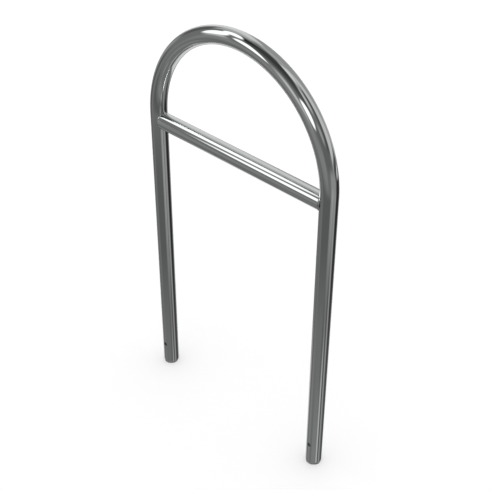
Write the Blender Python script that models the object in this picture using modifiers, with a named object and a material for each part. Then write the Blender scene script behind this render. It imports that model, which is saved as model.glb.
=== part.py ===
"""Hoop bike stand.

One round tube stands on two straight legs and is bent over a half circle at the top.
A crossbar of the same tube is let in between the legs, just under the bend. A shallow
saddle in each end of it beds on the leg, with the points of the saddle trimmed square,
and one weld bead runs round each joint and fills what the trimming leaves open.
A hole through both walls near each cut end takes the rod that keeps the leg in its footing.

Metres, +Z up. The hoop lies in the XZ plane, and the origin is on the floor midway
between the two legs.
"""

import math

import bmesh
import bpy

# Driving dimensions
HOOP_WIDTH = 0.700  # over the outsides of the legs
HOOP_HEIGHT = 1.300  # from the cut ends to the top of the bend
TUBE_DIAMETER = 0.050
TUBE_WALL = 0.003
END_CHAMFER = 0.0005  # the burr taken off the cut ends

CROSSBAR_DIAMETER = TUBE_DIAMETER  # it is cut from the same tube as the hoop
CROSSBAR_WALL = TUBE_WALL
CROSSBAR_BELOW_BEND = 0.021  # its centre line, under the height where the legs start to bend
SADDLE_DEPTH = 0.007  # how far the leg beds into the crossbar's end

ANCHOR_HOLE_DIAMETER = 0.014
ANCHOR_HOLE_HEIGHT = 0.080  # its centre, above the cut end

WELD_RADIUS = 0.0035  # the bead's rounded face
WELD_SINK = 0.0010  # the bead's centre line, under the crossbar's skin

FIT_GAP = 0.0003  # between pieces that touch
DRILL_OVERRUN = 0.010  # how far a drill passes the tube on each side
SMALLEST_EDGE = 0.00003  # shorter edges, left where curved faces cross, are closed up

# How finely round shapes are divided
TUBE_SIDES = 36
BEND_STEPS = 44
HOLE_SIDES = 28
WELD_SIDES = 12
WELD_STEPS = 52
SHARP_ANGLE = math.radians(35)

# Sizes that follow from the driving dimensions
TUBE_RADIUS = TUBE_DIAMETER / 2
CROSSBAR_RADIUS = CROSSBAR_DIAMETER / 2
BEND_RADIUS = HOOP_WIDTH / 2 - TUBE_RADIUS  # of the centre line, so also half the leg spacing
BEND_START = HOOP_HEIGHT - TUBE_RADIUS - BEND_RADIUS
CROSSBAR_HEIGHT = BEND_START - CROSSBAR_BELOW_BEND
SADDLE_TRIM = TUBE_RADIUS - SADDLE_DEPTH  # from a leg's centre line to the crossbar's square end
CROSSBAR_HALF_LENGTH = BEND_RADIUS - SADDLE_TRIM


def clear_scene():
    for thing in list(bpy.data.objects):
        bpy.data.objects.remove(thing, do_unlink=True)


def new_collection(name):
    made = bpy.data.collections.new(name)
    bpy.context.scene.collection.children.link(made)
    return made


def metal(name, colour, roughness):
    """A bare metal with one colour and one gloss."""
    made = bpy.data.materials.new(name)
    made.use_nodes = True
    shader = made.node_tree.nodes["Principled BSDF"]
    shader.inputs["Base Color"].default_value = (*colour, 1.0)
    shader.inputs["Metallic"].default_value = 1.0
    shader.inputs["Roughness"].default_value = roughness
    return made


def swept(name, points, radius, sides, collection, ring=False, ends=True):
    """A round section carried along a line of points, as a mesh with its loose ends welded."""
    curve = bpy.data.curves.new(name, "CURVE")
    curve.dimensions = "3D"
    curve.bevel_depth = radius
    curve.bevel_resolution = sides // 2 - 2
    curve.use_fill_caps = ends
    spline = curve.splines.new("POLY")
    spline.points.add(len(points) - 1)
    for knot, place in zip(spline.points, points):
        knot.co = (*place, 1.0)
    spline.use_cyclic_u = ring
    guide = bpy.data.objects.new(name + "_line", curve)
    collection.objects.link(guide)
    bpy.context.view_layer.update()
    evaluated = guide.evaluated_get(bpy.context.evaluated_depsgraph_get())
    mesh = bpy.data.meshes.new_from_object(evaluated)
    mesh.name = name
    made = bpy.data.objects.new(name, mesh)
    made.matrix_world = guide.matrix_world
    collection.objects.link(made)
    bpy.data.objects.remove(guide, do_unlink=True)
    shape = bmesh.new()
    shape.from_mesh(mesh)
    bmesh.ops.remove_doubles(shape, verts=shape.verts, dist=1e-6)
    bmesh.ops.recalc_face_normals(shape, faces=shape.faces)
    shape.to_mesh(mesh)
    shape.free()
    return made


def finish(piece, material):
    """Gives a piece its material and smooth shading between its real edges."""
    piece.data.materials.clear()
    piece.data.materials.append(material)
    piece.data.shade_smooth()
    piece.data.set_sharp_from_angle(angle=SHARP_ANGLE)


def make_cutter(piece):
    piece.hide_render = True
    piece.display_type = "WIRE"


def give_wall(piece, wall):
    """Makes an open skin into a tube wall that lies inside the skin."""
    shell = piece.modifiers.new("wall", "SOLIDIFY")
    shell.thickness = wall
    shell.offset = -1.0
    shell.use_even_offset = True
    shell.use_rim = True


def chamfer_ends(piece, width):
    """Breaks the square edges of a tube's cut ends."""
    edge = piece.modifiers.new("deburr", "BEVEL")
    edge.width = width
    edge.segments = 1
    edge.limit_method = "ANGLE"
    edge.angle_limit = math.radians(60)


def cut(piece, cutter):
    difference = piece.modifiers.new("cut by " + cutter.name, "BOOLEAN")
    difference.operation = "DIFFERENCE"
    difference.solver = "EXACT"
    difference.object = cutter


def close_short_edges(piece):
    merge = piece.modifiers.new("close short edges", "WELD")
    merge.merge_threshold = SMALLEST_EDGE


def hoop_line():
    """The hoop's centre line: up the left leg, over the half circle and down the right leg."""
    points = [(-BEND_RADIUS, 0.0, 0.0)]
    for step in range(BEND_STEPS + 1):
        turn = math.pi * (1 - step / BEND_STEPS)
        points.append((BEND_RADIUS * math.cos(turn), 0.0, BEND_START + BEND_RADIUS * math.sin(turn)))
    points.append((BEND_RADIUS, 0.0, 0.0))
    return points


def weld_line(side):
    """The line that a bead follows round one end of the crossbar.

    It runs round the crossbar just under its skin. Where the saddle beds on the leg it lies
    on the leg's surface. Where the saddle's points are trimmed off it lies midway between
    the crossbar's square end and the leg.
    """
    around = CROSSBAR_RADIUS - WELD_SINK
    points = []
    for step in range(WELD_STEPS):
        turn = 2 * math.pi * (step + 0.5) / WELD_STEPS
        across = around * math.sin(turn)
        bedded = math.sqrt(max(TUBE_RADIUS**2 - across**2, 0.0))
        along = max(bedded, SADDLE_TRIM)
        from_axis = math.hypot(along, across)
        midway = (from_axis + TUBE_RADIUS) / 2 / from_axis
        points.append(
            (
                side * (BEND_RADIUS - along * midway),
                across * midway,
                CROSSBAR_HEIGHT + around * math.cos(turn),
            )
        )
    return points


def make_anchor_drill(side, collection):
    """A drill that passes through both walls of one leg, front to back."""
    bpy.ops.mesh.primitive_cylinder_add(
        vertices=HOLE_SIDES,
        radius=ANCHOR_HOLE_DIAMETER / 2,
        depth=TUBE_DIAMETER + 2 * DRILL_OVERRUN,
        location=(side * BEND_RADIUS, 0.0, ANCHOR_HOLE_HEIGHT),
        rotation=(math.pi / 2, 0.0, 0.0),
    )
    drill = bpy.context.object
    drill.name = "anchor_drill_left" if side < 0 else "anchor_drill_right"
    for holder in list(drill.users_collection):
        holder.objects.unlink(drill)
    collection.objects.link(drill)
    make_cutter(drill)
    return drill


def make_hoop_tube(collection, cutters, material):
    hoop = swept("hoop_tube", hoop_line(), TUBE_RADIUS, TUBE_SIDES, collection, ends=False)
    give_wall(hoop, TUBE_WALL)
    chamfer_ends(hoop, END_CHAMFER)
    for side in (-1, 1):
        cut(hoop, make_anchor_drill(side, cutters))
    finish(hoop, material)
    return hoop


def crossbar_line(half_length):
    """A straight line at the crossbar's height, as far to the left as to the right."""
    return [(-half_length, 0.0, CROSSBAR_HEIGHT), (half_length, 0.0, CROSSBAR_HEIGHT)]


def make_crossbar(collection, hoop_outline, material):
    """The crossbar, cut square to length and then notched to the outline of the legs."""
    line = crossbar_line(CROSSBAR_HALF_LENGTH)
    crossbar = swept("crossbar", line, CROSSBAR_RADIUS, TUBE_SIDES, collection, ends=False)
    give_wall(crossbar, CROSSBAR_WALL)
    cut(crossbar, hoop_outline)
    finish(crossbar, material)
    return crossbar


def make_weld(name, side, collection, outlines, material):
    """A round bead along the joint, less what would lie in the tubes or in the bore."""
    bead = swept(name, weld_line(side), WELD_RADIUS, WELD_SIDES, collection, ring=True)
    for outline in outlines:
        cut(bead, outline)
    close_short_edges(bead)
    finish(bead, material)
    return bead


def make_outline(name, line, radius, collection):
    outline = swept(name, line, radius, TUBE_SIDES, collection)
    make_cutter(outline)
    return outline


def build():
    clear_scene()
    stand = new_collection("hoop_bike_stand")
    cutters = new_collection("cutters")
    polished = metal("polished_stainless", (0.50, 0.51, 0.50), 0.08)
    dressed = metal("dressed_weld", (0.46, 0.47, 0.46), 0.22)

    hoop_outline = make_outline("hoop_outline", hoop_line(), TUBE_RADIUS + FIT_GAP, cutters)
    bar_line = crossbar_line(CROSSBAR_HALF_LENGTH + FIT_GAP)
    bar_outline = make_outline("crossbar_outline", bar_line, CROSSBAR_RADIUS + FIT_GAP, cutters)
    bore_radius = CROSSBAR_RADIUS - CROSSBAR_WALL
    bore_outline = make_outline("bore_outline", crossbar_line(BEND_RADIUS), bore_radius, cutters)

    make_hoop_tube(stand, cutters, polished)
    make_crossbar(stand, hoop_outline, polished)
    for name, side in (("weld_left", -1), ("weld_right", 1)):
        make_weld(name, side, stand, (hoop_outline, bar_outline, bore_outline), dressed)


build()
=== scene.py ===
# %% [markdown]
# # A hoop bike stand in polished stainless tube
#
# The real object is two lengths of the same round tube and two welds. One tube is bent into a
# hoop, the other is let in between its legs, and the welds close the joints. Everything that
# the eye sees is metal, so this lesson is about two things: surfaces that are smooth enough to
# mirror, and a room for them to mirror.
#
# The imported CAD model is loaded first. It is the fixed frame that gives every place and size.

# %% Load the frame and measure it
import math

import bpy
import bmesh
import numpy as np
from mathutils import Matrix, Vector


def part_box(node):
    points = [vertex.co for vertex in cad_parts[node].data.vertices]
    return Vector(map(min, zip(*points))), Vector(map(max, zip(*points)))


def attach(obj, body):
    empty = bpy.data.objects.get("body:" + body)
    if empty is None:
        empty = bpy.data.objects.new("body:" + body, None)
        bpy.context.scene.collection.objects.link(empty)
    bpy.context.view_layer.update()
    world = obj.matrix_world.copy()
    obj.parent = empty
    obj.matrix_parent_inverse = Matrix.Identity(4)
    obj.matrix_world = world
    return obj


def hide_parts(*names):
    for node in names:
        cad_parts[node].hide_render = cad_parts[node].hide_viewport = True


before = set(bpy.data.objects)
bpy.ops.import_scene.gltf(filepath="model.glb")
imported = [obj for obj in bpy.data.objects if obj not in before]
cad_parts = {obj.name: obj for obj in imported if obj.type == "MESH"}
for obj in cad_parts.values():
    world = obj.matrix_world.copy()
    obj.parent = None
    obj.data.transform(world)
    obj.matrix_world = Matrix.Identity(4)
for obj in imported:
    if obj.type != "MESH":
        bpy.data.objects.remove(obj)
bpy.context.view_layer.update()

FULL_TURN = 2 * math.pi
_, hoop_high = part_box("hoop_tube")
bar_low, bar_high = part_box("crossbar")

tube_radius = hoop_high.y
bend_radius = hoop_high.x - tube_radius
leg_length = hoop_high.z - tube_radius - bend_radius
bar_height = (bar_low.z + bar_high.z) / 2
bar_reach = bar_high.x
print("tube radius %.5f, bend radius %.5f" % (tube_radius, bend_radius))
print("legs %.4f, crossbar at %.4f, reach %.4f" % (leg_length, bar_height, bar_reach))

# %% [markdown]
# ## The camera
#
# The photograph looks down on the stand from its front right corner. A long lens from far away
# keeps the two legs almost parallel. The camera is placed with a look-at rule: it stands on a
# line from the target, at the given heading and height, and its own backward axis is that line.
# The small shift moves the picture without turning it. Placing it by eye would do for a new
# picture, but to match a photograph each number has to be one that can be changed on its own.

# %% Place the camera
HEADING = math.radians(45.0)
ELEVATION = math.radians(35.264)
DISTANCE = 2.8934
TARGET = np.array([0.0044, 0.0, 0.6502])
LENS = 73.84
SENSOR_WIDTH = 36.0  # millimetres, as the lens
SHIFT = (0.01135, -0.00414)

back = np.array(
    [
        math.sin(HEADING) * math.cos(ELEVATION),
        -math.cos(HEADING) * math.cos(ELEVATION),
        math.sin(ELEVATION),
    ]
)
camera_data = bpy.data.cameras.new("camera")
camera_data.lens = LENS
camera_data.sensor_width = SENSOR_WIDTH
camera_data.shift_x, camera_data.shift_y = SHIFT
camera = bpy.data.objects.new("camera", camera_data)
camera.location = TARGET + DISTANCE * back
camera.rotation_euler = (math.pi / 2 - ELEVATION, 0.0, HEADING)
bpy.context.scene.collection.objects.link(camera)
bpy.context.scene.camera = camera
print("camera at", [round(float(x), 3) for x in camera.location])

# %% [markdown]
# ## Surfaces as grids
#
# A tube's skin is a sheet of paper rolled up: two numbers, how far along and how far around,
# give a point in space. So each surface here is worked out on a grid of those two numbers, with
# whole numpy arrays. A primitive cylinder and a Bend modifier would do for a plain tube, but
# they can't follow a saddle, a drilled hole or a bead.
#
# Each patch of surface carries three more things for its material: its place on the straight
# tube before it was bent, which keeps polishing lines in step round the bend, its place on the
# unrolled skin for the UV map, and how its metal was left by the tool that made it.

# %% Helpers that turn patches of points into one mesh
POLISHED = 0.0  # how a point's metal was left, as one number for its material
SATIN = 0.35
BORE = 0.7
SAWN = 1.0
SEWN_WITHIN = 2e-6  # points nearer to each other than this become one


def grid_of(*coordinates):
    """One array of points from arrays of x, of y and so on, each stretched over the grid."""
    return np.stack(np.broadcast_arrays(*coordinates), -1)


def cells(rows, columns):
    """The numbers of the four points round each cell of a grid."""
    corner = np.arange(rows * columns).reshape(rows, columns)
    return np.stack([corner[:-1, :-1], corner[1:, :-1], corner[1:, 1:], corner[:-1, 1:]], -1)


def patch(points, straight, unrolled, worked, keep=None):
    """One grid of surface: rows by columns of points, and what each point tells its material.

    keep is a mask with one value for each cell between four points. Cells that are False
    are left out, which opens a window for another patch.
    """
    grid = points.shape[:2]
    if keep is None:
        keep = np.ones((grid[0] - 1, grid[1] - 1), bool)
    return {
        "points": points.reshape(-1, 3),
        "faces": cells(*grid)[keep],
        "straight": straight.reshape(-1, 3),
        "unrolled": unrolled.reshape(-1, 2),
        "worked": np.broadcast_to(worked, grid).reshape(-1),
    }


def make_piece(name, patches, node):
    """Joins patches into one closed mesh that stands for a CAD node.

    The patches share the points along their edges, so merging the doubles sews them together.
    After that the normals are turned to face outwards.
    """
    start = np.cumsum([0] + [len(p["points"]) for p in patches])
    points = np.concatenate([p["points"] for p in patches])
    faces = np.concatenate([p["faces"] + first for p, first in zip(patches, start)])
    mesh = bpy.data.meshes.new(name)
    mesh.from_pydata(points.tolist(), [], faces.tolist())

    def at_corners(key):
        values = np.concatenate([p[key] for p in patches])[faces.reshape(-1)]
        return values.astype(np.float32).reshape(-1)

    mesh.uv_layers.new(name="unrolled").data.foreach_set("uv", at_corners("unrolled"))
    straight = mesh.attributes.new("straight", "FLOAT_VECTOR", "CORNER")
    straight.data.foreach_set("vector", at_corners("straight"))
    worked = mesh.attributes.new("worked", "FLOAT", "CORNER")
    worked.data.foreach_set("value", at_corners("worked"))

    sewn = bmesh.new()
    sewn.from_mesh(mesh)
    bmesh.ops.remove_doubles(sewn, verts=sewn.verts, dist=SEWN_WITHIN)
    bmesh.ops.recalc_face_normals(sewn, faces=sewn.faces)
    open_edges = sum(1 for edge in sewn.edges if not edge.is_manifold)
    sewn.to_mesh(mesh)
    volume = sewn.calc_volume(signed=True)
    sewn.free()
    mesh.shade_smooth()

    piece = bpy.data.objects.new(name, mesh)
    bpy.context.scene.collection.objects.link(piece)
    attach(piece, "root")
    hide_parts(node)
    count = len(mesh.polygons)
    print("%s: %d faces, %d open edges, %.1f cm3" % (name, count, open_edges, volume * 1e6))
    return piece


# %% [markdown]
# ## The bent tube
#
# The centre line goes up the left leg, over a half circle and down the right leg. A skin is the
# set of points at one distance from it, so the outer skin, the bore and the rounded edges are
# all the same function with another radius.
#
# The mirror finish shows every facet, so the bend gets a row of faces every 6 mm and the
# section has 120 sides. The straight legs need few rows, because a long straight face is exact.

# %% The hoop's skin
WALL = 0.003  # as in the solids
DEBURR = 0.0005  # the edge taken off the sawn ends
SIDES = 120

bore_radius = tube_radius - WALL
total_length = 2 * leg_length + math.pi * bend_radius
around_columns = np.linspace(0.0, FULL_TURN, SIDES + 1)


def hoop_skin(along, around, radius):
    """A point of the hoop's skin, from how far along, the angle around and the radius.

    The centre line is at the bend's radius times (cosine, sine) of the turn, over the legs'
    height, and on a leg the turn stays at its end value while the height changes. The skin
    goes out from it by the radius, in the direction cosine(around) times outwards plus
    sine(around) times +Y.
    """
    turn = math.pi - np.clip((along - leg_length) / bend_radius, 0.0, math.pi)
    height = np.minimum(np.minimum(along, total_length - along), leg_length)
    outwards = radius * np.cos(around)
    x = (bend_radius + outwards) * np.cos(turn)
    y = radius * np.sin(around)
    z = height + (bend_radius + outwards) * np.sin(turn)
    return grid_of(x, y, z)


def hoop_patch(along, around, radius, worked, keep=None):
    """A patch of the hoop, with its place on the tube before it was bent."""
    points = hoop_skin(along, around, radius)
    straight = grid_of(along, radius * np.cos(around), radius * np.sin(around))
    unrolled = grid_of(along, tube_radius * around)
    return patch(points, straight, unrolled, worked, keep)


print("tube: %.3f m along its line, %d sides" % (total_length, SIDES))

# %% [markdown]
# ## The cross-drilled holes
#
# A hole through a curved wall can be cut with a Boolean, but that leaves long thin faces whose
# smooth normals smear a reflection. Here a square window of cells is left open in the grid, and
# a round patch fills it: each line of the patch starts at a point on the window's edge and runs
# in to the hole, over a rounded lip, down the bore of the hole, over the lip inside the tube,
# and out to the same window in the inner skin. The drill goes straight through from front to
# back, so its circle is drawn on a plane and wrapped onto the tube.

# %% Rows and windows
HOLE_RADIUS = 0.007
HOLE_HEIGHT = 0.080  # its centre, above the cut end
FRONT, BACK = 0.75 * FULL_TURN, 0.25 * FULL_TURN  # angles round the tube
WINDOW_CELLS = 20  # along each side of the square window round a hole
FOOT_ROWS = 7  # between the cut end and the window
LEG_ROWS = 15  # between the window and the bend

cell = tube_radius * FULL_TURN / SIDES
window_half = cell * WINDOW_CELLS / 2
hole_places = [
    (along, around)
    for along in (HOLE_HEIGHT, total_length - HOLE_HEIGHT)
    for around in (FRONT, BACK)
]


def skin_rows(bend_rows):
    """How far along each row of a skin lies: closer at the hole and over the bend."""
    foot = np.linspace(DEBURR, HOLE_HEIGHT - window_half, FOOT_ROWS + 1)
    hole = np.linspace(foot[-1], HOLE_HEIGHT + window_half, WINDOW_CELLS + 1)
    leg = np.linspace(hole[-1], leg_length, LEG_ROWS + 1)
    rows = np.concatenate([foot[:-1], hole[:-1], leg[:-1]])
    bend = np.linspace(leg_length, total_length - leg_length, bend_rows + 1)
    return np.concatenate([rows, bend, total_length - rows[::-1]])


def window_mask(rows):
    """False for the cells inside the square windows round the four holes."""
    along = (rows[:-1] + rows[1:])[:, None] / 2
    around = (around_columns[:-1] + around_columns[1:])[None, :] / 2
    keep = np.ones((len(rows) - 1, SIDES), bool)
    reach = window_half / tube_radius
    for hole_along, hole_around in hole_places:
        near_along = np.abs(along - hole_along) < window_half
        near_around = np.abs(around - hole_around) < reach
        keep &= ~(near_along & near_around)
    return keep


print("windows: %d, each %.1f mm square" % (len(hole_places), 2000 * window_half))

# %% Hole patches
LIP = 0.00035  # the countersunk lip's rounding
RINGS = 11  # rows from the window's edge to the lip
RINGS_CLOSER = 1.4  # a power over 1 puts the rings closer together towards the lip
LIP_STEPS = 5
DRILLED_STEPS = 5


def stage(share, out, radius):
    """Rows of a hole patch, as three lists of one length. A single number holds for all."""
    return np.stack(np.broadcast_arrays(share, out, radius))


def hole_patch(hole_along, hole_around):
    """The surface from the outer window's edge, through the hole, to the inner window's edge.

    At angle a round the hole, a point at distance q from the drill's axis has q times sine(a)
    along the tube, and an angle around the tube whose sine is q times cosine(a) over the
    radius there. Between hole and window the two places are mixed by a share.
    """
    steps = np.arange(WINDOW_CELLS) / WINDOW_CELLS * 2 - 1
    one = np.ones(WINDOW_CELLS)
    edge_across = np.concatenate([steps, one, -steps, -one, [-1.0]]) * window_half
    edge_along = np.concatenate([-one, steps, one, -steps, [-1.0]]) * window_half
    angle = np.arctan2(edge_along, edge_across)

    rings = np.linspace(1.0, 0.0, RINGS) ** RINGS_CLOSER
    rim = HOLE_RADIUS + LIP
    lip = np.linspace(0.0, FULL_TURN / 4, LIP_STEPS + 1)
    into, out_of = lip[1:], lip[:-1]
    drilled = np.linspace(tube_radius - LIP, bore_radius + LIP, DRILLED_STEPS + 1)[1:-1]
    stages = [
        stage(rings, rim, tube_radius),
        stage(0.0, rim - LIP * np.sin(into), tube_radius - LIP * (1 - np.cos(into))),
        stage(0.0, HOLE_RADIUS, drilled),
        stage(0.0, rim - LIP * np.cos(out_of), bore_radius + LIP * (1 - np.sin(out_of))),
        stage(rings[::-1], rim, bore_radius),
    ]
    share, out, radius = np.concatenate(stages, axis=1)[..., None]
    across = np.arcsin(out * np.cos(angle) / radius)
    around = hole_around + across * (1 - share) + share * edge_across / tube_radius
    along = hole_along + out * np.sin(angle) * (1 - share) + share * edge_along
    worked = np.where(radius == tube_radius, POLISHED, BORE)
    return hoop_patch(along, around, radius, worked)


holes = [hole_patch(along, around) for along, around in hole_places]
print("hole patches:", len(holes), "of", len(holes[0]["faces"]), "faces")

# %% [markdown]
# ## The hoop, put together
#
# The outer skin, the bore, the two sawn ends and the four holes could stay separate sheets, and
# would look the same. They are sewn into one closed wall, because a tube is one piece: the mesh
# then has a volume that can be measured, and one that is wrong shows at once. The bore gets fewer
# rows over the bend than the outer skin, as nobody sees that far in. The saw leaves a flat ring,
# with a narrow slope on each side of it where the burr was taken off.

# %% Build the hoop
OUTER_BEND_ROWS = 168
INNER_BEND_ROWS = 56

outer_rows = skin_rows(OUTER_BEND_ROWS)
inner_rows = skin_rows(INNER_BEND_ROWS)
outer = hoop_patch(
    outer_rows[:, None], around_columns, tube_radius, POLISHED, window_mask(outer_rows)
)
inner = hoop_patch(
    inner_rows[:, None], around_columns, bore_radius, BORE, window_mask(inner_rows)
)
end_radius = np.array([tube_radius, tube_radius - DEBURR, bore_radius + DEBURR, bore_radius])
end_along = np.array([DEBURR, 0.0, 0.0, DEBURR])
left_end = hoop_patch(end_along[:, None], around_columns, end_radius[:, None], SAWN)
right_end = hoop_patch(
    total_length - end_along[:, None], around_columns, end_radius[:, None], SAWN
)
hoop = make_piece(
    "polished_hoop",
    [outer, inner, left_end, right_end, *holes],
    "hoop_tube",
)

# %% [markdown]
# ## The crossbar
#
# The crossbar is a straight tube whose ends are notched to fit the legs. Its skin is the rolled
# sheet again, but each line of it has its own length: where the leg beds into the notch the
# line stops at the leg, and further out it stops where the notch's points are trimmed square.

# %% Build the crossbar
FIT_GAP = 0.0003  # the crossbar's end stops this far from the leg, as in the solids
HALF_BAR_ROWS = 16
ROWS_CLOSER = 1.8  # a power over 1 puts the rows closer together towards the ends
END_ROWS = 3  # over the thickness of the wall

saddle_trim = bend_radius - bar_reach  # from the leg's axis to the trimmed points


def bar_end(y):
    """How far a line of the crossbar reaches: to the leg's skin, or to the square trim.

    The leg's skin is the root of its radius squared less y squared, from its axis.
    """
    leg_skin = np.sqrt(np.maximum((tube_radius + FIT_GAP) ** 2 - y**2, 0.0))
    return bend_radius - np.maximum(leg_skin, saddle_trim)


def bar_patch(share, around, radius, worked):
    """A patch of the crossbar. share runs from -1 at the left end to 1 at the right one."""
    y = radius * np.sin(around)
    z = bar_height + radius * np.cos(around)
    x = share * bar_end(y)
    points = grid_of(x, y, z)
    straight = points - [0.0, 0.0, bar_height]
    unrolled = grid_of(x, tube_radius * around)
    return patch(points, straight, unrolled, worked)


half = 1 - np.linspace(1.0, 0.0, HALF_BAR_ROWS + 1) ** ROWS_CLOSER
bar_rows = np.concatenate([-half[::-1], half[1:]])[:, None]
across_wall = np.linspace(tube_radius, bore_radius, END_ROWS + 1)[:, None]
crossbar = make_piece(
    "polished_crossbar",
    [
        bar_patch(bar_rows, around_columns, tube_radius, POLISHED),
        bar_patch(bar_rows, around_columns, bore_radius, BORE),
        bar_patch(-1.0, around_columns, across_wall, SAWN),
        bar_patch(1.0, around_columns, across_wall, SAWN),
    ],
    "crossbar",
)

# %% [markdown]
# ## The weld beads
#
# A bead like this is laid in small overlapping puddles, which set as thin crescents, and is then
# dressed with a soft disc, so that they are only just there. It could be a bump in the material,
# but the edge of a bead shows against the light, so the crescents are in the mesh. The bead is a
# round profile carried along the joint. Where the crossbar beds on the leg it is thin and just
# proud. At the sides it is wider and lies deeper, in the corner that the square trim leaves, so
# the crossbar's cut edge stays sharp. The part of the profile that lies in the tubes' walls is
# where the metal fused, and nobody sees it, so it is only kept out of the bores.

# %% The bead's line
BEAD_RADIUS = 0.0016  # where the crossbar beds on the leg
BEAD_SINK = 0.0008  # the bead's centre line, under the crossbar's skin
WIDE_BEAD_RADIUS = 0.0030  # at the sides, where it fills the trimmed corner
WIDE_BEAD_SINK = 0.0032
TRIM_START, TRIM_FULL = 0.72, 0.96  # sines of the angle round the crossbar, between the two
CRESCENTS = 84
BEAD_STEPS = 8 * CRESCENTS
BEND_SMOOTHING = 15  # how many steps are averaged where the line bends at the trim

bead_turn = np.linspace(0.0, FULL_TURN, BEAD_STEPS + 1)
trimmed = np.clip((np.abs(np.sin(bead_turn)) - TRIM_START) / (TRIM_FULL - TRIM_START), 0.0, 1.0)
trimmed = trimmed**2 * (3 - 2 * trimmed)
bead_ring = tube_radius - BEAD_SINK - (WIDE_BEAD_SINK - BEAD_SINK) * trimmed


def bead_line():
    """The line of the bead at the right end, from the point where the two tubes' axes meet.

    It is at (minus reach, ring times sine, ring times cosine) of the angle round the crossbar,
    where ring is the crossbar's radius less the bead's sink, and reach is to the leg's skin.
    Where the crossbar is trimmed, it lies half way between the square end and that skin. A
    running mean with bell-shaped weights then rounds its bends.
    """
    y = bead_ring * np.sin(bead_turn)
    reach = np.maximum(np.sqrt(np.maximum(tube_radius**2 - y**2, 0.0)), saddle_trim)
    from_axis = np.hypot(reach, y)
    midway = (from_axis + tube_radius) / 2 / from_axis
    line = np.stack([-reach * midway, y * midway, bead_ring * np.cos(bead_turn)], -1)
    weights = np.hanning(BEND_SMOOTHING) / np.hanning(BEND_SMOOTHING).sum()
    more = BEND_SMOOTHING // 2
    wrapped = np.concatenate([line[-more - 1 : -1], line, line[1 : more + 1]])
    return np.stack([np.convolve(wrapped[:, k], weights, "valid") for k in range(3)], -1)


def unit(vectors):
    return vectors / np.linalg.norm(vectors, axis=-1, keepdims=True)


def bead_directions(line):
    """For each point of the line, the ways out of the joint and sideways over the bead.

    Outwards is half way between away from the leg's axis and away from the crossbar's, less
    what of it lies along the line. Sideways is square to the line and to outwards.
    """
    tangent = unit(np.roll(line[:-1], -1, 0) - np.roll(line[:-1], 1, 0))
    tangent = np.concatenate([tangent, tangent[:1]])
    from_leg = unit(line * [1.0, 1.0, 0.0])
    from_bar = unit(line * [0.0, 1.0, 1.0])
    outwards = from_leg + from_bar
    outwards = unit(outwards - tangent * (outwards * tangent).sum(-1, keepdims=True))
    return outwards, np.cross(tangent, outwards)


print("bead's line: %d steps, %d puddles" % (BEAD_STEPS, CRESCENTS))

# %% Build the two beads
CRESCENT_HEIGHT = 0.00005
CRESCENT_BOW = 0.35  # puddles of delay, for a radian across the bead
UNEVEN_SPACING = 0.25  # in puddles
UNEVEN_SIZE = 0.015  # as a share of the bead's radius
UNEVEN_WAVES = np.arange(2, 9)  # waves in one turn round the joint
BEAD_SEED = 7
BEAD_SIDES = 28
BORE_MARGIN = 0.0004  # the bead stays this far outside both bores


def push_out(flat, radius):
    """Moves points in a plane that are nearer to its origin than radius out to that radius."""
    distance = np.linalg.norm(flat, axis=-1, keepdims=True)
    return flat * (np.maximum(distance, radius) / distance)


def bead_patch(side):
    """The bead round one end of the crossbar: a round profile carried along the bead's line.

    The profile is a circle that grows by a crescent: the absolute sine of the count of
    puddles, delayed towards the toes by the square of the angle across the bead. A sum of
    slow sines makes the puddles a little uneven.
    """
    turn = bead_turn[:, None]
    across = np.linspace(-math.pi, math.pi, BEAD_SIDES + 1)
    rng = np.random.default_rng(BEAD_SEED + side)
    phases = rng.uniform(0.0, FULL_TURN, len(UNEVEN_WAVES))
    uneven = np.sin(turn * UNEVEN_WAVES + phases).sum(-1, keepdims=True) / len(UNEVEN_WAVES)
    puddle = CRESCENTS * turn / FULL_TURN + CRESCENT_BOW * across**2 + UNEVEN_SPACING * uneven
    crescent = np.abs(np.sin(math.pi * puddle)) - 0.5
    radius = BEAD_RADIUS + (WIDE_BEAD_RADIUS - BEAD_RADIUS) * trimmed[:, None]
    grown = radius * (1 + UNEVEN_SIZE * uneven) + CRESCENT_HEIGHT * crescent

    line = bead_line()
    outwards, sideways = bead_directions(line)
    out = (grown * np.cos(across))[..., None]
    aside = (grown * np.sin(across))[..., None]
    points = line[:, None] + out * outwards[:, None] + aside * sideways[:, None]
    points[..., 1:] = push_out(points[..., 1:], bore_radius + BORE_MARGIN)
    points[..., :2] = push_out(points[..., :2], bore_radius + BORE_MARGIN)
    points = (points + [bend_radius, 0.0, bar_height]) * [side, 1.0, 1.0]

    along = turn * (tube_radius - BEAD_SINK)
    straight = grid_of(along, (bead_ring * np.cos(bead_turn))[:, None], BEAD_RADIUS * across)
    unrolled = grid_of(along, BEAD_RADIUS * across)
    return patch(points, straight, unrolled, SATIN)


beads = [
    make_piece(name, [bead_patch(side)], node)
    for name, side, node in (("bead_left", -1, "weld_left"), ("bead_right", 1, "weld_right"))
]

# %% [markdown]
# ## Shader maths
#
# A material is a sum written with nodes, and a long one is hard to read when every plus sign is
# a node that has to be made and linked. The small class below wraps the socket that a value
# comes out of, so that a plain Python expression adds the Math nodes. Anything that isn't plain
# arithmetic goes through one method that adds any node.

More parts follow.
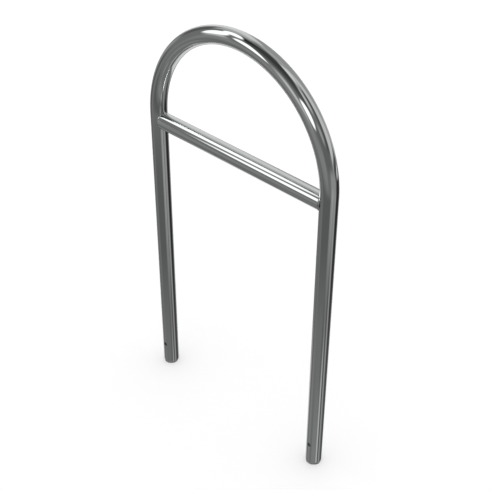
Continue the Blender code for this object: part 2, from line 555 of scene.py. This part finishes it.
# %% A class for writing materials as expressions
class Value:
    """A number or vector that flows out of a socket."""

    def __init__(self, sheet, socket):
        self.sheet = sheet
        self.socket = socket

    def maths(self, operation, *others, first=None):
        operands = [first] if first is not None else []
        operands += [self, *others]
        settings = {"operation": operation}
        return self.sheet.node("ShaderNodeMath", settings, dict(enumerate(operands)))

    def __add__(self, other):
        return self.maths("ADD", other)

    def __sub__(self, other):
        return self.maths("SUBTRACT", other)

    def __rsub__(self, other):
        return self.maths("SUBTRACT", first=other)

    def __mul__(self, other):
        return self.maths("MULTIPLY", other)

    def __truediv__(self, other):
        return self.maths("DIVIDE", other)

    def __pow__(self, other):
        return self.maths("POWER", other)

    def __abs__(self):
        return self.maths("ABSOLUTE")

    __radd__ = __add__
    __rmul__ = __mul__


class Sheet:
    """The node tree of a material or of the world."""

    def __init__(self, owner):
        owner.use_nodes = True
        self.tree = owner.node_tree
        self.tree.nodes.clear()

    def count(self):
        return len(self.tree.nodes)

    def add(self, kind, settings=None, values=None):
        """Adds a node. Its settings are set first, then its sockets get numbers or links."""
        made = self.tree.nodes.new(kind)
        for name, setting in (settings or {}).items():
            setattr(made, name, setting)
        for name, value in (values or {}).items():
            socket = made.inputs[name]
            if isinstance(value, Value):
                self.tree.links.new(value.socket, socket)
            else:
                socket.default_value = value
        return made

    def node(self, kind, settings=None, values=None, out=0):
        """Adds a node and gives back one of its outputs as a Value."""
        return Value(self, self.add(kind, settings, values).outputs[out])

    def attribute(self, name, out):
        return self.node("ShaderNodeAttribute", {"attribute_name": name}, out=out)

    def split(self, vector):
        """The three numbers of a vector."""
        parts = self.add("ShaderNodeSeparateXYZ", {}, {0: vector})
        return [Value(self, parts.outputs[k]) for k in range(3)]

    def smooth_step(self, value, start, end):
        """0 below start, 1 above end, and a soft S between them."""
        settings = {"interpolation_type": "SMOOTHSTEP"}
        values = {"Value": value, "From Min": start, "From Max": end}
        return self.node("ShaderNodeMapRange", settings, values)

    def noise(self, place, scale, detail=2.0, roughness=0.5, stretch=(1.0, 1.0, 1.0)):
        """Noise from 0 to 1. A large number in stretch packs the pattern along that axis."""
        stretched = self.node(
            "ShaderNodeVectorMath", {"operation": "MULTIPLY"}, {0: place, 1: stretch}
        )
        values = {"Vector": stretched, "Scale": scale, "Detail": detail, "Roughness": roughness}
        return self.node("ShaderNodeTexNoise", {}, values)

    def mix_colour(self, share, first, second):
        """Colours go through a Mix node, because a Math node would turn them grey.

        Its sockets 6 and 7 take the two colours, and its output 2 gives the mix.
        """
        return self.node(
            "ShaderNodeMix", {"data_type": "RGBA"}, {0: share, 6: first, 7: second}, out=2
        )

    def bare_metal(self, colour, roughness, height):
        """Ends the sheet as metal whose surface stands at the given height in metres."""
        normal = self.node(
            "ShaderNodeBump", {}, {"Strength": 1.0, "Distance": 1.0, "Height": height}
        )
        values = {"Base Color": colour, "Metallic": 1.0, "Roughness": roughness, "Normal": normal}
        shader = self.node("ShaderNodeBsdfPrincipled", {}, values)
        self.add("ShaderNodeOutputMaterial", {}, {"Surface": shader})


# %% [markdown]
# ## Polished stainless
#
# Stainless tube of this kind is polished on a belt that runs round it, so its finest lines go
# round the tube and follow it over the bend. The mirror isn't perfect: the wall has long shallow
# waves from bending, hands and cloths leave it a little duller in patches, and here and there is
# a hairline scratch. Round each joint a disc has blended the weld in, and its skin is satin
# there. The bore keeps the dull skin of the tube mill, and the ends show the saw.
#
# A texture could hold all of that, but these patterns are worked out from the place on the
# straight tube, so they have no seams and stay sharp at any distance.

# %% The polished stainless material
CLEAN_STEEL = (0.537, 0.555, 0.546, 1.0)
SMUDGED_STEEL = (0.494, 0.512, 0.504, 1.0)
DARK_MILL_SKIN = (0.40, 0.41, 0.40, 1.0)
PALE_MILL_SKIN = (0.53, 0.54, 0.53, 1.0)
MIRROR = 0.022  # the roughness of the clean polish, to which the marks add theirs
BLENDED, UNTOUCHED = 0.010, 0.022  # past the tube's radius, where the disc's work fades out

# How high the marks stand, in metres
WAVE_HEIGHT = 0.000028
BELT_HEIGHT = 0.0000011
HAIRLINE_HEIGHT = 0.0000012
MILL_HEIGHT = 0.00002
SAW_HEIGHT = 0.000012


def polished_stainless():
    """Bare metal whose gloss and surface change with how it was worked.

    The steps on the worked number lie between the four values that the patches give it. The
    distance from a joint is the root of the sum of the three squares.
    """
    made = bpy.data.materials.new("polished_stainless")
    sheet = Sheet(made)
    straight = sheet.attribute("straight", out="Vector")
    worked = sheet.attribute("worked", out="Fac")
    place = sheet.node("ShaderNodeTexCoord", out="Object")
    x, y, z = sheet.split(place)

    sawn = sheet.smooth_step(worked, 0.8, 0.9)
    bore = sheet.smooth_step(worked, 0.4, 0.6) * (1 - sawn)
    from_joint = ((abs(x) - bend_radius) ** 2.0 + (z - bar_height) ** 2.0 + y**2.0) ** 0.5
    near_joint = 1 - sheet.smooth_step(
        from_joint, tube_radius + BLENDED, tube_radius + UNTOUCHED
    )

    belt = sheet.noise(straight, 1.0, 2.0, 0.6, stretch=(1900.0, 26.0, 26.0))
    waves = sheet.noise(straight, 1.0, 1.0, 0.4, stretch=(14.0, 38.0, 38.0))
    smudge = sheet.noise(place, 16.0, 4.0, 0.62)
    hairs = sheet.noise(straight, 1.0, 0.0, 0.5, stretch=(160.0, 900.0, 900.0))
    scratched = sheet.smooth_step(sheet.noise(straight, 22.0), 0.58, 0.72)
    hairline = sheet.smooth_step(hairs, 0.80, 0.86) * scratched
    mill = sheet.noise(place, 120.0, 5.0, 0.7)
    saw = sheet.noise(place, 1.0, 3.0, 0.6, stretch=(90.0, 1600.0, 90.0))

    roughness = MIRROR + 0.03 * sheet.smooth_step(smudge, 0.45, 0.75) + 0.012 * belt
    roughness = roughness + 0.06 * hairline + 0.03 * near_joint
    roughness = roughness + 0.20 * bore + 0.20 * sawn

    polished = sheet.mix_colour(0.5 * smudge, CLEAN_STEEL, SMUDGED_STEEL)
    mill_skin = sheet.mix_colour(mill, DARK_MILL_SKIN, PALE_MILL_SKIN)
    colour = sheet.mix_colour(bore, polished, mill_skin)

    height = WAVE_HEIGHT * waves + BELT_HEIGHT * belt + HAIRLINE_HEIGHT * hairline
    height = height + MILL_HEIGHT * mill * bore + SAW_HEIGHT * saw * sawn
    sheet.bare_metal(colour, roughness, height)
    print("polished stainless:", sheet.count(), "nodes")
    return made


polish = polished_stainless()
for piece in (hoop, crossbar):
    piece.data.materials.append(polish)

# %% [markdown]
# ## The dressed weld
#
# The bead is the same metal with a satin face. The disc that dressed it was held by hand, so its
# lines cross the crescents at changing angles, and its valleys are a little darker than its
# crests because the disc didn't reach them.

# %% The dressed weld material
DRESSED_STEEL = (0.510, 0.525, 0.518, 1.0)
VALLEY_STEEL = (0.400, 0.408, 0.400, 1.0)
SATIN_GLOSS = 0.10  # the roughness of the dressed crests, to which the marks add theirs
DRESSING_HEIGHT = 0.0000022
UNEVEN_HEIGHT = 0.00001


def dressed_weld():
    """Satin metal with dressing lines and darker valleys between the crescents."""
    made = bpy.data.materials.new("dressed_weld")
    sheet = Sheet(made)
    along, _, across = sheet.split(sheet.attribute("straight", out="Vector"))
    place = sheet.node("ShaderNodeTexCoord", out="Object")

    ring = FULL_TURN * (tube_radius - BEAD_SINK)
    puddle = along * (CRESCENTS / ring) + CRESCENT_BOW * (across / BEAD_RADIUS) ** 2.0
    crest = abs((puddle * math.pi).maths("SINE"))
    dressing = sheet.noise(place, 1.0, 2.0, 0.6, stretch=(420.0, 2600.0, 420.0))
    uneven = sheet.noise(place, 90.0, 3.0, 0.6)

    valley = 1 - sheet.smooth_step(crest, 0.05, 0.55)
    roughness = SATIN_GLOSS + 0.08 * uneven + 0.10 * valley + 0.04 * dressing
    colour = sheet.mix_colour(0.6 * valley, DRESSED_STEEL, VALLEY_STEEL)
    sheet.bare_metal(colour, roughness, DRESSING_HEIGHT * dressing + UNEVEN_HEIGHT * uneven)
    print("dressed weld:", sheet.count(), "nodes")
    return made


weld_metal = dressed_weld()
for bead in beads:
    bead.data.materials.append(weld_metal)

# %% [markdown]
# ## The studio that the metal mirrors
#
# Polished metal has almost no colour of its own. What it shows is the room, so the room is half
# of its look. The room could be built from lamps and cards, but each card would also light the
# floor. Here it is painted into the world by direction, only for the rays that leave a glossy
# surface. Each thing in it is a soft-edged panel with a heading and a height in degrees, laid
# over the ones before it. A brightness of 1 is white.
#
# A real window is many times brighter than white. In one mirror image that can't be told, and a
# moderate brightness keeps the edge of the image smooth. In the image of an image, such as the
# crossbar's streak seen again in the inside of the bend, it shows as a glint, so light that
# was mirrored twice meets the windows at more of their strength.
#
# The room is grey. Three bright windows stand low at the back, under a dark ceiling. The right
# side has pale walls and a pale column, and a dark mass stands on the floor in front of them.
# The floor is grey too, with darker seams and paler streaks, because the upright legs, seen
# from above, mirror nothing but the floor.
#
# All other rays see plain even light, at a level where a colour renders as it is written, and
# the camera sees a white backdrop.

# %% The panels
ROOM = 0.26  # the brightness between the panels
PANELS = [
    # name, round, heading, height, half width, half height, softness, brightness, lean
    ("wall on the right", False, 50, 28, 24, 34, 14, 0.88, 0.3),
    ("wall behind it", False, 97, 26, 28, 40, 16, 0.48, 0.0),
    ("foot of it", False, 88, -10, 14, 13, 8, 0.66, 0.0),
    ("pale column", False, 138, 26, 14, 34, 8, 1.00, -0.1),
    ("over the corner", False, 163, 48, 13, 18, 8, 0.66, 0.0),
    ("dark corner", False, 175, 16, 12, 12, 8, 0.15, 0.0),
    ("pale wall behind, low", False, 178, -10, 12, 10, 8, 0.42, 0.0),
    ("ceiling ahead", False, 20, 74, 38, 12, 14, 1.05, -1.2),
    ("ceiling on the right", False, 108, 72, 45, 13, 14, 0.60, 0.0),
    ("dark ceiling", False, -95, 62, 58, 24, 14, 0.07, 0.0),
    ("ceiling edge", False, -85, 42, 45, 8, 8, 0.13, 0.0),
    ("dark over the windows", True, -148, 56, 16, 8, 7, 0.03, 0.0),
    ("low wall", False, -30, 5, 30, 16, 12, 0.20, 0.0),
    ("pale patch below", True, -21, 21, 12, 8, 8, 0.50, 0.0),
    ("pale patch", True, -18, 51, 14, 12, 10, 0.80, 0.0),
    ("dark post", False, 12, 31, 11, 24, 10, 0.13, 0.35),
    ("beside the first window", False, -138, 38, 3, 8, 6, 0.40, 0.0),
    ("light between the windows", True, -98, 2, 11, 17, 14, 0.90, 0.0),
    ("foot of the first window", True, -140, 7, 6, 11, 6, 0.80, -0.3),
    ("first window, top", True, -161, 45.7, 18.5, 9.3, 3, 2.0, -0.3),
    ("first window, side", True, -151.5, 24, 11, 15.5, 4, 2.0, -0.35),
    ("second window", True, -122.8, 21.3, 10.8, 12.8, 3.5, 2.0, -0.3),
    ("third window", True, -65, 20.5, 14, 12, 5, 2.0, 0.62),
    ("dark behind", True, -165, -22, 12, 12, 8, 0.15, 0.0),
    ("grey behind", False, -100, -14, 42, 11, 14, 0.36, 0.0),
    ("seam in the floor", False, -75, -33.5, 48, 4.5, 7, 0.17, -1.3),
    ("dark floor on the left", False, -31, -41, 7, 4, 4, 0.18, 0.0),
    ("paler floor", False, -50, -50, 34, 6, 7, 0.34, 0.0),
    ("dark floor behind", False, -150, -45, 13, 10, 8, 0.22, 0.0),
    ("pale floor behind", False, -178, -46, 10, 6, 6, 0.52, 0.0),
    ("paler floor behind", True, -130, -48, 18, 7, 7, 0.34, 0.0),
    ("pale spot on the floor", True, -95, -56, 12, 5, 5, 0.40, 0.0),
    ("floor ahead", False, 0, -22, 28, 14, 10, 0.44, 0.3),
    ("streak on the floor", True, -9, -28, 8, 7, 5, 0.55, 0.0),
    ("light on the floor", True, -10, -47, 10, 6, 5, 0.72, 0.0),
    ("gap in the floor", False, 7, -46, 8, 9, 4, 0.15, 0.0),
    ("floor on the right", False, 26, -46, 8, 20, 8, 0.48, 0.0),
    ("dark mass", True, 63, -29, 27, 17, 11, 0.04, 0.0),
    ("foot of the mass", True, 66, -46, 13, 9, 6, 0.10, 0.0),
    ("floor beyond the mass", False, 99, -36, 9, 10, 8, 0.42, 0.0),
    ("dark arc", False, 48, -9, 23, 6, 8, 0.12, 0.0),
    ("bright spot", True, 64, -17, 12, 3, 3, 1.10, 0.1),
    ("bright floor", False, 122, -60, 38, 18, 8, 0.95, 1.0),
    ("floor behind, low", False, 180, -70, 24, 8, 6, 0.62, 0.0),
    ("underfoot", False, 0, -90, 360, 13, 10, 0.50, 0.0),
]
TWICE_MIRRORED = {  # what is added to a window's brightness, as a multiple of it
    "first window, top": 1.5,
    "first window, side": 0.5,
    "second window": 1.5,
    "third window": 4.5,
}
print(len(PANELS), "panels, of which", len(TWICE_MIRRORED), "make up the three windows")

# %% The world
ALL_ROUND = 180  # a panel with this half width or more has no sides
MORE_THAN_ONE_MIRROR = 1.5  # Glossy Depth is a whole number, so this parts 1 from 2
WHITE = (1.0, 1.0, 1.0, 1.0)


def covered_by(sheet, beside, above, panel):
    """1 inside a panel, 0 outside it, with a soft edge.

    A square panel is the product of a soft step each way. A round one is a soft step of the
    root of (beside over half width) squared plus (above over half height) squared.
    """
    _, is_round, _, _, half_width, half_height, softness, _, _ = panel
    soft = softness / 2
    if is_round:
        out = ((beside / half_width) ** 2.0 + (above / half_height) ** 2.0) ** 0.5
        soft = soft / min(half_width, half_height)
        return 1 - sheet.smooth_step(out, 1 - soft, 1 + soft)
    covered = 1 - sheet.smooth_step(abs(above), half_height - soft, half_height + soft)
    if half_width >= ALL_ROUND:
        return covered
    return covered * (1 - sheet.smooth_step(abs(beside), half_width - soft, half_width + soft))


def paint_room(sheet, twice):
    """The brightness seen in each direction, as panels laid over one another.

    Each panel takes its share of what lies under it: bright times (1 less covered), plus its
    own brightness times covered. A panel that leans is shifted aside by lean for each degree
    above its middle. twice is 1 for light that was mirrored more than once, else 0.
    """
    x, y, z = sheet.split(sheet.node("ShaderNodeTexCoord", out="Generated"))
    heading = y.maths("ARCTAN2", x).maths("DEGREES")
    height = z.maths("ARCSINE").maths("DEGREES")
    bright = ROOM
    for panel in PANELS:
        name, _, at, up, _, _, _, brightness, lean = panel
        if name in TWICE_MIRRORED:
            brightness = brightness * (1 + TWICE_MIRRORED[name] * twice)
        above = height - up
        beside = (heading - at - lean * above).maths("WRAP", 180.0, -180.0)
        covered = covered_by(sheet, beside, above, panel)
        bright = bright * (1 - covered) + brightness * covered
    return bright


def studio():
    """The painted room for rays that leave a glossy surface, and white for all the others."""
    made = bpy.data.worlds.new("studio")
    sheet = Sheet(made)
    rays = sheet.add("ShaderNodeLightPath")
    glossy = Value(sheet, rays.outputs["Is Glossy Ray"])
    mirrors = Value(sheet, rays.outputs["Glossy Depth"])
    room = paint_room(sheet, mirrors.maths("GREATER_THAN", MORE_THAN_ONE_MIRROR))
    strength = room * glossy + (1 - glossy)
    background = sheet.node("ShaderNodeBackground", {}, {"Color": WHITE, "Strength": strength})
    sheet.add("ShaderNodeOutputWorld", {}, {"Surface": background})
    print("world:", sheet.count(), "nodes")
    return made


bpy.context.scene.world = studio()

# %% [markdown]
# ## The floor
#
# The stand is on a plain pale floor. Its colour is a pale grey, because nothing real is pure
# white, and what is missing to white is added for the camera only, so the floor meets the
# backdrop without a line and still takes the soft shadow at the feet. The metal is meant to
# mirror the room and not this sheet, so glossy rays pass it by.

# %% Build the floor
FLOOR_GREY = 0.80
FLOOR_LIFT = 0.23  # what is missing to white, and a little for the grain of the light
FLOOR_HALF = 12.0
FLOOR_CELLS = 8  # along each side
UNDER_FEET = 0.0002  # the floor lies this far under the cut ends, so the two never coincide


def pale_floor():
    """Matt pale grey, with a glow that the camera alone sees."""
    made = bpy.data.materials.new("pale_floor")
    sheet = Sheet(made)
    seen = sheet.node("ShaderNodeLightPath", out="Is Camera Ray")
    grey = (FLOOR_GREY, FLOOR_GREY, FLOOR_GREY, 1.0)
    matt = sheet.node("ShaderNodeBsdfDiffuse", {}, {"Color": grey})
    glow = sheet.node("ShaderNodeEmission", {}, {"Color": WHITE, "Strength": FLOOR_LIFT * seen})
    both = sheet.node("ShaderNodeAddShader", {}, {0: matt, 1: glow})
    sheet.add("ShaderNodeOutputMaterial", {}, {"Surface": both})
    return made


lines = np.linspace(-FLOOR_HALF, FLOOR_HALF, FLOOR_CELLS + 1)
floor_points = grid_of(lines[:, None], lines, -UNDER_FEET).reshape(-1, 3)
floor_faces = cells(FLOOR_CELLS + 1, FLOOR_CELLS + 1).reshape(-1, 4)
floor_mesh = bpy.data.meshes.new("floor")
floor_mesh.from_pydata(floor_points.tolist(), [], floor_faces.tolist())
floor_mesh.materials.append(pale_floor())
floor = bpy.data.objects.new("floor", floor_mesh)
bpy.context.scene.collection.objects.link(floor)
floor.visible_glossy = False
print("floor:", len(floor_mesh.polygons), "faces")

# %% [markdown]
# ## Hand over
#
# The view transform stays plain, so that a colour comes out as it is written.

# %% Finish
bpy.context.scene.view_settings.view_transform = "Standard"
